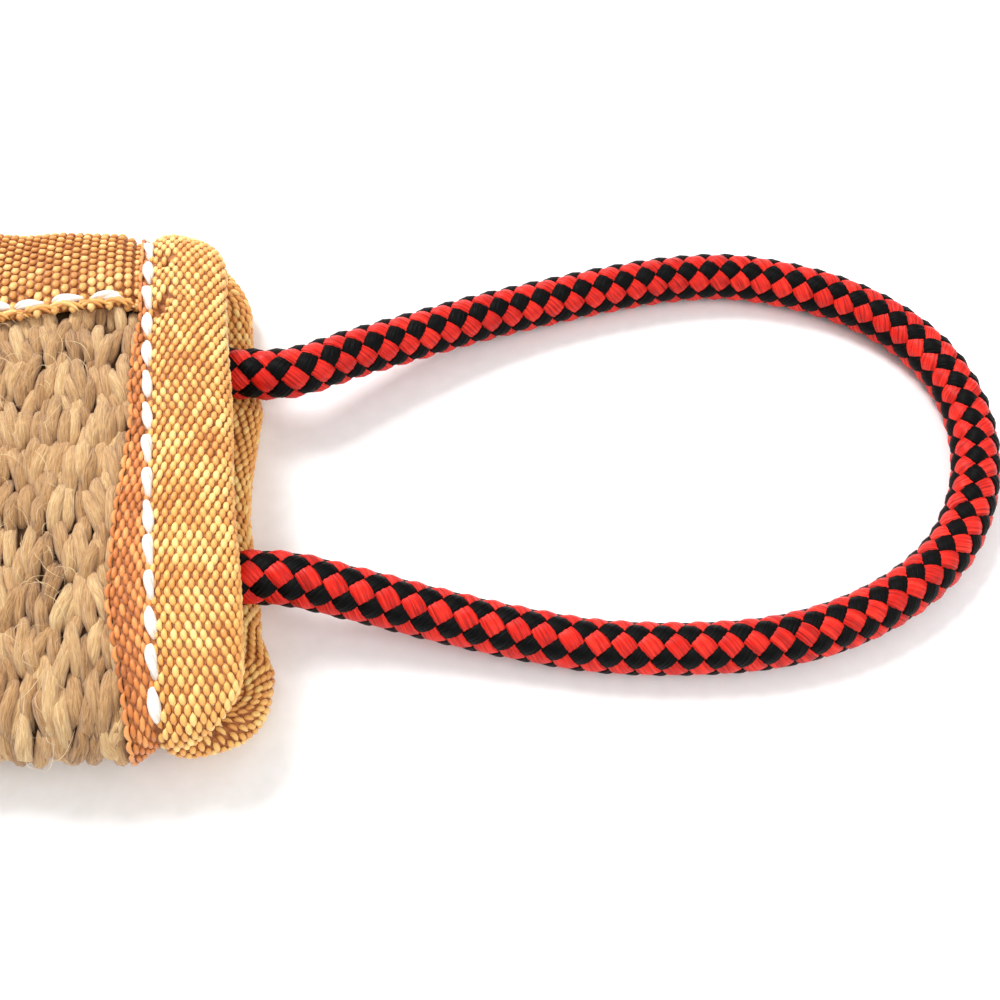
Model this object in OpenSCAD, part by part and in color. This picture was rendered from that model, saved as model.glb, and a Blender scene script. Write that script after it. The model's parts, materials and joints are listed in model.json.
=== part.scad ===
// Stuffed jute training bumper with a sewn-in rope handle at one end.
// +X points to the handle, +Y to the taped long edge, +Z up. The origin is under the middle of the body.

/* [Body] */
// Length of the body from rim to rim
body_length = 300; // [240:10:360]
// Width of the body across its bound ends
body_width = 88; // [84:1:110]
// Thickness of the stuffed middle
body_height = 32; // [26:1:38]
// Thickness of the two sewn ends, tape included
end_height = 19; // [18:0.5:22]
// Thickness of the jute cloth
cloth_thickness = 3; // [2:0.5:3.5]
// How squarely filled the cross-section is, 2 being an ellipse
fullness = 2.5; // [2.2:0.1:3]
// Lean of the two ends, in mm of length per mm of width
end_lean = 0.08; // [0:0.01:0.1]

/* [Binding tape] */
// Thickness of the woven tape
tape_thickness = 1.2; // [1:0.1:1.5]
// How far the folded end tape reaches along each face
end_tape_reach = 20; // [15:1:25]
// How far the folded long-edge tape reaches across each face
edge_tape_reach = 20; // [14:1:24]

/* [Stitching] */
// Diameter of the white sewing thread
thread_diameter = 1.2; // [0.8:0.1:1.4]
// Distance from one stitch to the next
stitch_pitch = 5.5; // [4:0.5:8]
// Share of the pitch that one visible stitch covers
stitch_share = 0.75; // [0.5:0.05:0.9]
// Distance of the end seams from the rim
end_seam_inset = 12.5; // [10:0.5:16]
// Distance of the long seam from the taped edge
edge_seam_inset = 17.5; // [12:0.5:21]

/* [Rope handle] */
// Diameter of the braided rope
rope_diameter = 8; // [6:0.5:9]
// Diameter of the core that the sheath is braided round
rope_core_diameter = 4.5; // [3:0.5:5]
// Length of each rope end that is sewn into the body
rope_tail_length = 30; // [20:1:40]

/* [Hidden] */

half_length = body_length / 2;
cover_half_length = half_length - tape_thickness;
cover_half_width = body_width / 2 - tape_thickness;
cover_end_height = end_height - 2 * tape_thickness;
// The body swells between the inner edges of the two end tapes.
swell_half_length = half_length - end_tape_reach;
// The stuffing stops short of the end tapes' stitches.
filling_half_length = swell_half_length - 2;
// The underside is pressed flat by this much.
pressed_depth = 2;
// The cloth rises over this length to make room for the tape beneath it, and is up before the leaning tape starts.
tape_rise_length = 8;
tape_rise_margin = 5;
edge_rise_margin = 2;
lean_start = half_length - 60;
lean_length = 35;
section_sides = 40;
body_stations = 26;
end_stations = 5;
cut_clearance = 20;

// Route of the free rope, from the +Y leg round to the -Y leg, in mm.
hinge_x = half_length + 6;
leg_height = end_height / 2;
rope_radius = rope_diameter / 2;
leg_y = [19, -16.5];
rope_route = [
    [hinge_x, leg_y[0], leg_height],
    [hinge_x + 10, 24, 8],
    [hinge_x + 20, 29, 6.3],
    [hinge_x + 31, 34, 5],
    [hinge_x + 42, 38, rope_radius + 0.2],
    [hinge_x + 52, 41, rope_radius],
    [hinge_x + 63, 43.5, rope_radius],
    [hinge_x + 74, 44.5, rope_radius],
    [hinge_x + 84, 43, rope_radius],
    [hinge_x + 93, 40, rope_radius],
    [hinge_x + 101, 35, rope_radius],
    [hinge_x + 107, 28, rope_radius],
    [hinge_x + 110, 20, rope_radius],
    [hinge_x + 110.5, 12, rope_radius],
    [hinge_x + 109, 4, rope_radius],
    [hinge_x + 106, -3, rope_radius],
    [hinge_x + 101, -10, rope_radius],
    [hinge_x + 93, -16.5, rope_radius],
    [hinge_x + 83, -21.5, rope_radius],
    [hinge_x + 72, -24.5, rope_radius],
    [hinge_x + 60, -25.5, rope_radius],
    [hinge_x + 46, -25, rope_radius],
    [hinge_x + 34, -23, 4.4],
    [hinge_x + 22, -20.5, 5.6],
    [hinge_x + 10, -18, 7.6],
    [hinge_x, leg_y[1], leg_height]
];
steps_per_span = 3;
rope_sides = 10;
// The free rope starts this far outside the sewn-in ends.
hinge_gap = 0.4;
tail_end_x = hinge_x - rope_radius - hinge_gap;
tail_start_x = tail_end_x - rope_tail_length;

// ---- The stuffed body's surface ----

// A smooth step from 0 to 1.
function ease(t) = let(u = min(1, max(0, t))) u * u * (3 - 2 * u);

// How full the body is at x, from 0 at the sewn ends to 1 in the middle.
function swell(x) = pow(1 - pow(min(1, abs(x) / swell_half_length), 3), 2.5);

function cover_height(x) = cover_end_height + (body_height - cover_end_height) * swell(x);

// Height of the cloth's underside above the ground at x, where no long-edge tape lies beneath it.
function underside(x) =
    tape_thickness * ease((abs(x) - swell_half_length + tape_rise_margin + tape_rise_length) / tape_rise_length);

// The same height over the point x, y: the cloth also makes room for the long-edge tape.
edge_tape_y = body_width / 2 - edge_tape_reach;
edge_rise_start = edge_tape_y - edge_rise_margin - tape_rise_length;
function rest_height(x, y) = max(underside(x), tape_thickness * ease((y - edge_rise_start) / tape_rise_length));

function middle(x) = underside(x) + cover_height(x) / 2;

// Lean of the cross-section at x, which grows towards both ends.
function lean(x) = end_lean * ease((abs(x) - lean_start) / lean_length);

// A point that runs round a cross-section, grown outwards by grow.
function rounded(v) = sign(v) * pow(abs(v), 2 / fullness);
function section_point(x, grow, angle) =
    let(half_width = cover_half_width + grow,
        half_height = cover_height(x) / 2 + grow,
        y = half_width * rounded(cos(angle)),
        reach = sin(angle) < 0 ? half_height + pressed_depth : half_height,
        z = middle(x) + reach * rounded(sin(angle)))
    [x - lean(x) * y, y, max(rest_height(x, y) - grow, z)];

function section(x, grow) = [for (i = [0:section_sides - 1]) section_point(x, grow, 360 * i / section_sides)];

// Height of the upper or lower surface over the point x, y.
function fall(y, grow) = pow(1 - pow(min(1, abs(y) / (cover_half_width + grow)), fullness), 1 / fullness);
function top_height(x, y, grow) = middle(x) + (cover_height(x) / 2 + grow) * fall(y, grow);
function bottom_height(x, y, grow) =
    max(rest_height(x, y) - grow, middle(x) - (cover_height(x) / 2 + grow + pressed_depth) * fall(y, grow));

// Triangles that join rings of points into a closed skin with flat ends.
function skin_faces(rings, sides) = concat(
    [[for (i = [0:sides - 1]) i]],
    [for (r = [0:rings - 2], i = [0:sides - 1])
        let(a = r * sides + i, b = r * sides + (i + 1) % sides) [a, a + sides, b]],
    [for (r = [0:rings - 2], i = [0:sides - 1])
        let(a = r * sides + i, b = r * sides + (i + 1) % sides) [b, a + sides, b + sides]],
    [[for (i = [sides - 1:-1:0]) (rings - 1) * sides + i]]);

module skin(rings, sides) {
    polyhedron(points = [for (ring = rings) each ring], faces = skin_faces(len(rings), sides), convexity = 6);
}

// The body's form between two stations, grown by grow; the stations crowd towards the ends.
module body_form(half, grow) {
    stations = [for (i = [0:body_stations]) -half * cos(180 * i / body_stations)];
    skin([for (x = stations) section(x, grow)], section_sides);
}

module rope_tunnels(diameter) {
    for (y = leg_y)
        translate([tail_start_x, y, leg_height])
            rotate([0, 90, 0])
                cylinder(d = diameter, h = rope_tail_length, $fn = 48);
}

// Everything beyond the inner edge of the end tape: side 1 is the handle end, -1 the plain end.
module end_zone(side) {
    translate([side * swell_half_length, 0, 0])
        rotate([0, 0, atan(end_lean)])
            translate([side > 0 ? 0 : -body_length, -body_width, -cut_clearance])
                cube([body_length, 2 * body_width, body_height + 2 * cut_clearance]);
}

// ---- Cloth and filling ----

// One piece of jute cloth, folded round the -Y edge and laid flat at both ends.
module jute_cover() {
    color("#c9a06e")
        difference() {
            body_form(cover_half_length, 0);
            body_form(filling_half_length, -cloth_thickness);
            rope_tunnels(rope_diameter);
        }
}

// Soft stuffing that fills the cover between the end seams.
module filling_core() {
    color("#b59a78")
        body_form(filling_half_length, -cloth_thickness);
}

// ---- Binding tapes ----

// Tape folded round the +Y edge, where the two edges of the cover meet.
module long_edge_binding() {
    color("#d9924a")
        difference() {
            body_form(cover_half_length, tape_thickness);
            body_form(cover_half_length, 0);
            translate([-body_length, edge_tape_y - 2 * body_width, -cut_clearance])
                cube([2 * body_length, 2 * body_width, body_height + 2 * cut_clearance]);
            end_zone(1);
            end_zone(-1);
        }
}

// Tape folded round the rim of one end; a slit parts its upper lip from its lower lip.
module end_binding(side) {
    slit_height = 0.8;
    slit_half_width = body_width / 2 - 8;
    color("#d9924a")
        difference() {
            intersection() {
                body_form(half_length, tape_thickness);
                end_zone(side);
            }
            body_form(cover_half_length, 0);
            translate([side * half_length - body_width / 4, -slit_half_width, leg_height - slit_height / 2])
                cube([body_width / 2, 2 * slit_half_width, slit_height]);
            rope_tunnels(rope_diameter);
        }
}

module handle_end_binding() {
    end_binding(1);
}

module plain_end_binding() {
    end_binding(-1);
}

// ---- Thread ----

module thread_bar(from, to) {
    along = to - from;
    reach = norm(along);
    translate(from)
        rotate([0, acos(along.z / reach), atan2(along.y, along.x)])
            cylinder(d = thread_diameter, h = reach, $fn = 24);
}

thread_radius = thread_diameter / 2;
thread_sink = 0.06;

// Where the thread lies over the point x, y: half sunk in the upper tape, just sunk in the lower one.
function upper_thread(x, y) = [x, y, top_height(x, y, tape_thickness)];
function lower_thread(x, y) = [x, y, bottom_height(x, y, tape_thickness) + thread_radius + thread_sink];

function end_seam_x(side, y) = side * (half_length - end_seam_inset) - end_lean * y;

// A row of stitches across one end, seen on both faces.
module end_seam(side) {
    count = floor((body_width - 10) / stitch_pitch);
    color("#f8f6f2")
        for (i = [0:count - 1]) {
            y_from = (i - count / 2) * stitch_pitch;
            y_to = y_from + stitch_share * stitch_pitch;
            thread_bar(upper_thread(end_seam_x(side, y_from), y_from), upper_thread(end_seam_x(side, y_to), y_to));
            thread_bar(lower_thread(end_seam_x(side, y_from), y_from), lower_thread(end_seam_x(side, y_to), y_to));
        }
}

module handle_end_seam() {
    end_seam(1);
}

module plain_end_seam() {
    end_seam(-1);
}

// A row of stitches along the taped long edge, seen on both faces.
module long_edge_seam() {
    y = body_width / 2 - edge_seam_inset;
    count = floor(2 * (swell_half_length - 4) / stitch_pitch);
    color("#f8f6f2")
        for (i = [0:count - 1]) {
            x_from = (i - count / 2) * stitch_pitch;
            x_to = x_from + stitch_share * stitch_pitch;
            thread_bar(upper_thread(x_from, y), upper_thread(x_to, y));
            thread_bar(lower_thread(x_from, y), lower_thread(x_to, y));
        }
}

// Hidden thread that pins each rope end between the two layers of cloth.
module rope_anchor_stitches() {
    rows = [9, 17, 25];
    spread = rope_radius - 1.5;
    pin_reach = rope_radius + 1.5;
    color("#f8f6f2")
        for (y = leg_y, row = rows, offset = [-spread, spread])
            translate([tail_start_x + row, y + offset, leg_height - pin_reach])
                cylinder(d = thread_diameter, h = 2 * pin_reach, $fn = 24);
}

// ---- Rope ----

// A point on the smooth curve through the route, t of the way from point i to the next.
function route_point(i) = rope_route[min(len(rope_route) - 1, max(0, i))];
function curve_point(i, t) =
    let(a = route_point(i - 1), b = route_point(i), c = route_point(i + 1), d = route_point(i + 2))
    0.5 * (2 * b + (c - a) * t + (2 * a - 5 * b + 4 * c - d) * t * t + (3 * b - a - 3 * c + d) * t * t * t);

rope_path = concat(
    [for (i = [0:len(rope_route) - 2], k = [0:steps_per_span - 1]) curve_point(i, k / steps_per_span)],
    [route_point(len(rope_route) - 1)]);

function unit(v) = v / norm(v);

// A ring round path point k, moved along the rope by shift. The rope lies nearly level, so its sideways
// direction is found from straight up.
function rope_ring(k, radius, shift) =
    let(ahead = rope_path[min(len(rope_path) - 1, k + 1)],
        behind = rope_path[max(0, k - 1)],
        along = unit(ahead - behind),
        side = unit(cross([0, 0, 1], along)),
        up = cross(along, side))
    [for (i = [0:rope_sides - 1])
        let(angle = 360 * i / rope_sides)
        rope_path[k] + shift * along + radius * (cos(angle) * side + sin(angle) * up)];

function rope_rings(radius) = [for (k = [0:len(rope_path) - 1]) rope_ring(k, radius, 0)];

// Rings that shrink to a round end, so that the loop can swing close to the sewn-in ends.
round_end_angles = [70, 45, 20];
function rounded_start(k) =
    [for (a = round_end_angles) rope_ring(k, rope_radius * cos(a), -rope_radius * sin(a))];
function rounded_finish(k) =
    [for (i = [len(round_end_angles) - 1:-1:0])
        rope_ring(k, rope_radius * cos(round_end_angles[i]), rope_radius * sin(round_end_angles[i]))];

// The braid of the free loop, hollow where its core runs.
module rope_loop_sheath() {
    rings = concat(rounded_start(0), rope_rings(rope_radius), rounded_finish(len(rope_path) - 1));
    color("#e03020")
        difference() {
            skin(rings, rope_sides);
            skin(rope_rings(rope_core_diameter / 2), rope_sides);
        }
}

// The straight filament core inside the loop's braid.
module rope_loop_core() {
    color("#d8d4cc")
        skin(rope_rings(rope_core_diameter / 2), rope_sides);
}

// The braid of the two sewn-in rope ends.
module rope_tail_sheaths() {
    color("#e03020")
        difference() {
            rope_tunnels(rope_diameter);
            rope_tunnels(rope_core_diameter);
        }
}

module rope_tail_cores() {
    color("#d8d4cc")
        rope_tunnels(rope_core_diameter);
}

jute_cover();
filling_core();
long_edge_binding();
handle_end_binding();
plain_end_binding();
long_edge_seam();
handle_end_seam();
plain_end_seam();
rope_anchor_stitches();
rope_tail_sheaths();
rope_tail_cores();
rope_loop_sheath();
rope_loop_core();
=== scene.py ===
# %% [markdown]
# # A stuffed jute training bumper
# The real object is a sleeve of coarse jute cloth, stuffed and sewn flat at both ends. A woven tape binds
# its two ends and its open long edge, white thread holds the tapes down, and a braided rope is sewn into
# one end as a handle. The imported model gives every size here, so the script starts by loading it.

# %% Load the frame
import json
import math
import bmesh
import bpy
import numpy as np
from mathutils import Matrix, Vector

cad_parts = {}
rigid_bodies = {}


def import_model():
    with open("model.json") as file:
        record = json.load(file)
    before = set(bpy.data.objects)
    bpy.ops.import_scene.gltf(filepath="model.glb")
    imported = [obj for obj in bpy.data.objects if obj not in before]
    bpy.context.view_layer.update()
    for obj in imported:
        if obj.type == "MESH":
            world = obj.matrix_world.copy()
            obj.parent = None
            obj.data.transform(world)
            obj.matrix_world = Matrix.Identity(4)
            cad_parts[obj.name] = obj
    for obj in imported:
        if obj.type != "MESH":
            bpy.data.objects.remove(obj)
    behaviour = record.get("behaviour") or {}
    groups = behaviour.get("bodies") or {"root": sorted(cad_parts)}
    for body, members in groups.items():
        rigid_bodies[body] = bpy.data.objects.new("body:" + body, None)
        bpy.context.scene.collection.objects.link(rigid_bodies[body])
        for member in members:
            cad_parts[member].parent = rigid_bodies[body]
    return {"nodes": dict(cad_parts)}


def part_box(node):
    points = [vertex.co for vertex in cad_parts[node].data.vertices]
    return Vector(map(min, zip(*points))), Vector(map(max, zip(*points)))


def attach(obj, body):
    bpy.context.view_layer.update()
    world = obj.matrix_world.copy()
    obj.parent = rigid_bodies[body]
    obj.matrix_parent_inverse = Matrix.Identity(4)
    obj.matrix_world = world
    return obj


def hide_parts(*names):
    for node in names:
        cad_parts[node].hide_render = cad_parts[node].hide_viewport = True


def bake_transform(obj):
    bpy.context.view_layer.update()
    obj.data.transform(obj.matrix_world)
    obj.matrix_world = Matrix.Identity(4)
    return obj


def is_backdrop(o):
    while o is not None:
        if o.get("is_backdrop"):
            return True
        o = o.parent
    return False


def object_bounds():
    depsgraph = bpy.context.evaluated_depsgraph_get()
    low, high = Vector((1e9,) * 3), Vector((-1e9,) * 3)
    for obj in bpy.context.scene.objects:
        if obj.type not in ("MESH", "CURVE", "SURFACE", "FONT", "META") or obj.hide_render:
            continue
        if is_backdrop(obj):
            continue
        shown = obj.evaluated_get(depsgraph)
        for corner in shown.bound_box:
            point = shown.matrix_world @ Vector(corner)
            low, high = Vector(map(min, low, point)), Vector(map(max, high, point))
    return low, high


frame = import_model()
cad_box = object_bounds()

# %% [markdown]
# ## Sizes
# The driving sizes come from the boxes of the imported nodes, so nothing has to be fitted afterwards. The few
# that no box holds, such as how square the cross-section is, repeat the design's own values.

# %% Sizes from the frame
mm = 0.001
tail_low, tail_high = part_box("rope_tail_sheaths")
tape_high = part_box("handle_end_binding")[1]
body_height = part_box("jute_cover")[1].z
end_lean = 0.08
tape_thickness = 1.2 * mm
half_width = tape_high.y
half_length = tape_high.x - end_lean * half_width
rope_diameter = tail_high.z - tail_low.z
rope_radius = rope_diameter / 2
leg_height = (tail_low.z + tail_high.z) / 2
leg_y = (tail_high.y - rope_radius, tail_low.y + rope_radius)
end_height = 2 * leg_height
cover_half_width = half_width - tape_thickness
cover_end_height = end_height - 2 * tape_thickness
end_tape_reach = 20 * mm
edge_tape_reach = 20 * mm
swell_half_length = half_length - end_tape_reach
end_seam_inset = 12.5 * mm
edge_seam_inset = 17.5 * mm
print("half length", round(half_length, 4), "half width", round(half_width, 4))
print("height", round(body_height, 4))

# %% [markdown]
# ## The camera
# The camera looks down on the handle end from the near side, turned a little about its own axis so that the
# body lies level in the picture.

# %% Camera
camera_place = Vector((165.91, -105.48, 179.28)) * mm
camera_yaw = math.radians(12)
camera_dip = math.radians(58.5)
camera_lens = 48.6


def aim_camera(place, yaw, dip):
    """Adds a camera that looks along yaw and dip, rolled so that the body's long axis stays level."""
    roll = math.atan(math.tan(yaw) * math.sin(dip))
    ahead = Vector((math.sin(yaw) * math.cos(dip), math.cos(yaw) * math.cos(dip), -math.sin(dip)))
    level = Vector((math.cos(yaw), -math.sin(yaw), 0))
    upright = level.cross(ahead)
    right = level * math.cos(roll) + upright * math.sin(roll)
    up = upright * math.cos(roll) - level * math.sin(roll)
    data = bpy.data.cameras.new("camera")
    data.sensor_width = 36
    data.lens = camera_lens
    data.clip_start = 0.01
    camera = bpy.data.objects.new("camera", data)
    turn = Matrix((right, up, -ahead)).transposed().to_4x4()
    camera.matrix_world = Matrix.Translation(place) @ turn
    bpy.context.scene.collection.objects.link(camera)
    bpy.context.scene.camera = camera
    return camera


camera = aim_camera(camera_place, camera_yaw, camera_dip)
print("lens", camera.data.lens)

# %% [markdown]
# ## Small helpers
# A mesh here is an array of points and a list of faces. A tube or a sheet is a grid of points, so one
# helper joins rows of points into faces, and another makes the mesh with its faces turned outwards.


# %% Mesh helpers
def grid_faces(rows, columns, close_rows=False, close_columns=True):
    """Quads that join a grid of points, rows by columns, wrapped round where it is closed."""
    faces = []
    for r in range(rows if close_rows else rows - 1):
        for c in range(columns if close_columns else columns - 1):
            a, b = r * columns + c, r * columns + (c + 1) % columns
            below = ((r + 1) % rows) * columns
            faces.append((a, b, below + (c + 1) % columns, below + c))
    return faces


def make_mesh(name, points, faces, uvs=None, material=None):
    """A smooth mesh whose faces point outwards. uvs holds one pair for each point."""
    mesh = bpy.data.meshes.new(name)
    mesh.from_pydata([tuple(p) for p in points], [], faces)
    if uvs is not None:
        layer = mesh.uv_layers.new(name="along_and_round")
        corners = np.zeros(len(mesh.loops), dtype=np.int32)
        mesh.loops.foreach_get("vertex_index", corners)
        layer.data.foreach_set("uv", np.asarray(uvs, np.float32)[corners].ravel())
    shape = bmesh.new()
    shape.from_mesh(mesh)
    bmesh.ops.recalc_face_normals(shape, faces=shape.faces)
    shape.to_mesh(mesh)
    shape.free()
    mesh.polygons.foreach_set("use_smooth", [True] * len(mesh.polygons))
    if material is not None:
        mesh.materials.append(material)
    return mesh


def ellipse(centre, wide, high, sides):
    """Points round an ellipse that faces along Y."""
    turns = [2 * math.pi * k / sides for k in range(sides)]
    return [(centre[0] + wide * math.cos(t), centre[1], centre[2] + high * math.sin(t)) for t in turns]


def tube_faces(first, rings, sides):
    """The faces of a tube with flat ends, whose points start at first."""
    faces = [tuple(first + i for i in face) for face in grid_faces(rings, sides)]
    faces.append(tuple(first + k for k in reversed(range(sides))))
    faces.append(tuple(first + (rings - 1) * sides + k for k in range(sides)))
    return faces


def unit(vectors):
    return vectors / np.linalg.norm(vectors, axis=-1, keepdims=True)


def distances_along(line):
    """How far along a line of points each point lies."""
    return np.concatenate([[0], np.cumsum(np.linalg.norm(np.diff(line, axis=0), axis=1))])


def add_object(name, mesh):
    thing = bpy.data.objects.new(name, mesh)
    bpy.context.scene.collection.objects.link(thing)
    return thing


def ease(t):
    u = np.clip(t, 0, 1)
    return u * u * (3 - 2 * u)


# %% [markdown]
# ## Finishes
# Every finish is made from nodes. One function turns a hex colour to Blender's linear colour, one adds a
# node with its settings and its links, and a few name the nodes that most finishes share, so each material
# below reads as a short list of steps.


# %% Material helpers
def linear(code):
    """The linear colour of an sRGB hex value."""
    parts = [int(code[i : i + 2], 16) / 255 for i in (1, 3, 5)]
    return [c / 12.92 if c <= 0.04045 else ((c + 0.055) / 1.055) ** 2.4 for c in parts] + [1.0]


def node(tree, kind, settings=None, **inputs):
    """Adds a node with its settings. inputs fills or links its sockets: by name, or as i2 by number."""
    made = tree.nodes.new(kind)
    for key, value in (settings or {}).items():
        setattr(made, key, value)
    for key, value in inputs.items():
        place = int(key[1:]) if key[0] == "i" and key[1:].isdigit() else key.replace("_", " ")
        if isinstance(value, bpy.types.NodeSocket):
            tree.links.new(value, made.inputs[place])
        else:
            made.inputs[place].default_value = value
    return made


def new_material(name):
    material = bpy.data.materials.new(name)
    material.use_nodes = True
    material.node_tree.nodes.clear()
    return material, material.node_tree


def scaled_sum(tree, value, share, rest):
    """value times share, plus rest."""
    settings = {"operation": "MULTIPLY_ADD"}
    return node(tree, "ShaderNodeMath", settings, i0=value, i1=share, i2=rest).outputs[0]


def noise(tree, place, scale, detail, **inputs):
    inputs.update(Vector=place, Scale=scale, Detail=detail)
    return node(tree, "ShaderNodeTexNoise", **inputs).outputs["Fac"]


def stretched(tree, place, scale):
    return node(tree, "ShaderNodeMapping", Vector=place, Scale=scale).outputs["Vector"]


def strand_place(tree):
    """The place along a strand and round it."""
    return node(tree, "ShaderNodeUVMap", {"uv_map": "along_and_round"}).outputs["UV"]


def object_place(tree):
    return node(tree, "ShaderNodeTexCoord").outputs["Object"]


def own_tone(tree):
    """The random tone that each scattered shape carries."""
    return node(tree, "ShaderNodeAttribute", {"attribute_name": "tone"}).outputs


def finish_material(tree, colour, height=None, strength=0.0, distance=0.0, **inputs):
    """Ends a material with a Principled shader of that colour, bumped by height."""
    if height is not None:
        bump = node(tree, "ShaderNodeBump", Height=height, Strength=strength, Distance=distance)
        inputs["Normal"] = bump.outputs["Normal"]
    shader = node(tree, "ShaderNodeBsdfPrincipled", Base_Color=colour, **inputs)
    node(tree, "ShaderNodeOutputMaterial", Surface=shader.outputs["BSDF"])


def ramp(tree, factor, stops):
    """A colour ramp through (place, hex colour) stops."""
    made = node(tree, "ShaderNodeValToRGB", Fac=factor)
    elements = made.color_ramp.elements
    while len(elements) < len(stops):
        elements.new(0.5)
    for element, (place, code) in zip(elements, stops):
        element.position = place
        element.color = linear(code)
    return made.outputs["Color"]


# %% [markdown]
# ### Multifilament braid
# The rope's strands are bundles of fine, glossy filaments. The eye reads them as fine lines along each
# strand with a soft sheen across it, so the bump comes from noise that is stretched along the strand.


# %% Rope finish
def braided_filament(name, dark, middle, light, roughness, gloss):
    material, tree = new_material(name)
    place = strand_place(tree)
    lines = noise(tree, stretched(tree, place, (0.35, 9.0, 1.0)), 3.0, 3.0)
    patches = noise(tree, place, 0.6, 1.0)
    blended = scaled_sum(tree, lines, 0.75, scaled_sum(tree, patches, 0.25, 0.0))
    colour = ramp(tree, blended, [(0.34, dark), (0.5, middle), (0.66, light)])
    gloss_inputs = {"Roughness": roughness, "IOR": 1.45, "Specular_IOR_Level": gloss}
    finish_material(tree, colour, lines, 1.0, 0.3 * mm, **gloss_inputs)
    return material


rope_red = braided_filament("red_polyester_filament", "#8E0A03", "#D2180A", "#F23420", 0.42, 0.3)
rope_black = braided_filament("black_polyester_filament", "#010101", "#030202", "#0B0908", 0.5, 0.1)

# %% [markdown]
# ## The rope handle
# The handle is a round rope about 8 mm thick: ten flat strands braided one over one round a core, five red
# ones turning one way and five black ones the other. A picture of a braid on a smooth tube would go flat at
# the rope's edge, so the strands themselves are modelled. The route is the design's, and the rope is one
# piece from one sewn-in end to the other, because the real one is.

# %% Rope route
rope_route = [
    (156, 19, 9.5), (166, 24, 8), (176, 29, 6.3), (187, 34, 5), (198, 38, 4.2), (208, 41, 4), (219, 43.5, 4),
    (230, 44.5, 4), (240, 43, 4), (249, 40, 4), (257, 35, 4), (263, 28, 4), (266, 20, 4), (266.5, 12, 4),
    (265, 4, 4), (262, -3, 4), (257, -10, 4), (249, -16.5, 4), (239, -21.5, 4), (228, -24.5, 4),
    (216, -25.5, 4), (202, -25, 4), (190, -23, 4.4), (178, -20.5, 5.6), (166, -18, 7.6), (156, -16.5, 9.5),
]
sewn_in = (122, 133, 145)


def smooth_path(points, steps):
    """Points on the smooth curve that passes through the given ones."""
    padded = [points[0], *points, points[-1]]
    path = []
    for a, b, c, d in zip(padded, padded[1:], padded[2:], padded[3:]):
        for t in np.arange(steps) / steps:
            square = (2 * a - 5 * b + 4 * c - d) * t**2
            cube = (3 * b - a - 3 * c + d) * t**3
            path.append(0.5 * (2 * b + (c - a) * t + square + cube))
    return np.array(path + [points[-1]])


first_leg = [(x, leg_y[0] / mm, leg_height / mm) for x in sewn_in]
second_leg = [(x, leg_y[1] / mm, leg_height / mm) for x in reversed(sewn_in)]
rope_line = smooth_path([np.array(p, float) * mm for p in first_leg + rope_route + second_leg], 12)
rope_steps = np.linalg.norm(np.diff(rope_line, axis=0), axis=1)
rope_length = float(rope_steps.sum())
print("rope length", round(rope_length, 4))

# %% [markdown]
# A strand's place on the rope follows from its turn round the axis. Where a red strand passes five of the
# ten rows it lies on top, and in the rows between the black strands do, so one cosine of the angle lifts
# the one and lowers the other.

# %% Rope strands
strand_count = 5
turn_length = 2.4 * rope_diameter
strand_width = 3.4 * mm
strand_thickness = 0.95 * mm
weave_lift = 0.3 * mm
strand_sides = 8
samples_per_crossing = 4
braid_radius = rope_radius - strand_thickness / 2 - weave_lift


def frames_along(line):
    """The direction, the sideways and the upward direction at each point of a nearly level path."""
    along = unit(np.gradient(line, axis=0))
    side = unit(np.cross([0, 0, 1], along))
    return along, side, np.cross(along, side)


def resample(line, count):
    """The path again, with its points evenly spaced."""
    reach = distances_along(line)
    even = np.linspace(0, reach[-1], count)
    return np.stack([np.interp(even, reach, line[:, k]) for k in range(3)], -1), even


def strand_points(line, reach, hand, number):
    """Rings of points along one strand, and the along-and-round place of each point."""
    along, side, up = frames_along(line)
    angle = hand * 2 * math.pi * reach / turn_length + 2 * math.pi * number / strand_count
    radius = braid_radius + hand * weave_lift * np.cos(strand_count * angle)
    outward = np.cos(angle)[:, None] * side + np.sin(angle)[:, None] * up
    centre = line + radius[:, None] * outward
    across = unit(np.cross(unit(np.gradient(centre, axis=0)), outward))
    proud = 0.5 + 0.5 * hand * np.cos(strand_count * angle)
    width = strand_width * (0.86 + 0.14 * proud)
    rings, places = [], []
    for k in range(strand_sides):
        turn = 2 * math.pi * k / strand_sides
        sideways = (width / 2 * math.cos(turn))[:, None] * across
        # The strand is flatter underneath, and it bends round the core.
        depth = strand_thickness / 2 * math.sin(turn) - 0.22 * mm * math.cos(turn) ** 2
        rings.append(centre + sideways + depth * outward)
        places.append(np.stack([reach / (4 * mm), np.full_like(reach, k / strand_sides)], -1))
    return np.stack(rings, 1).reshape(-1, 3), np.stack(places, 1).reshape(-1, 2)


def braid(name):
    """The whole rope as one mesh: ten strands laid round the rope's line."""
    count = int(rope_length / (turn_length / (2 * strand_count)) * samples_per_crossing)
    line, reach = resample(rope_line, count)
    points, faces, places, tints = [], [], [], []
    for hand, tint in ((1, 0), (-1, 1)):
        for number in range(strand_count):
            ring, place = strand_points(line, reach, hand, number)
            first = len(points) * len(ring)
            strand = tube_faces(first, count, strand_sides)
            points.append(ring)
            places.append(place)
            faces += strand
            tints += [tint] * len(strand)
    mesh = make_mesh(name, np.concatenate(points), faces, np.concatenate(places))
    mesh.materials.append(rope_red)
    mesh.materials.append(rope_black)
    mesh.polygons.foreach_set("material_index", tints)
    return add_object(name, mesh)


rope = braid("rope_handle")
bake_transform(rope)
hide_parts("rope_tail_sheaths", "rope_tail_cores", "rope_loop_sheath", "rope_loop_core")
print("rope faces", len(rope.data.polygons))

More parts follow.
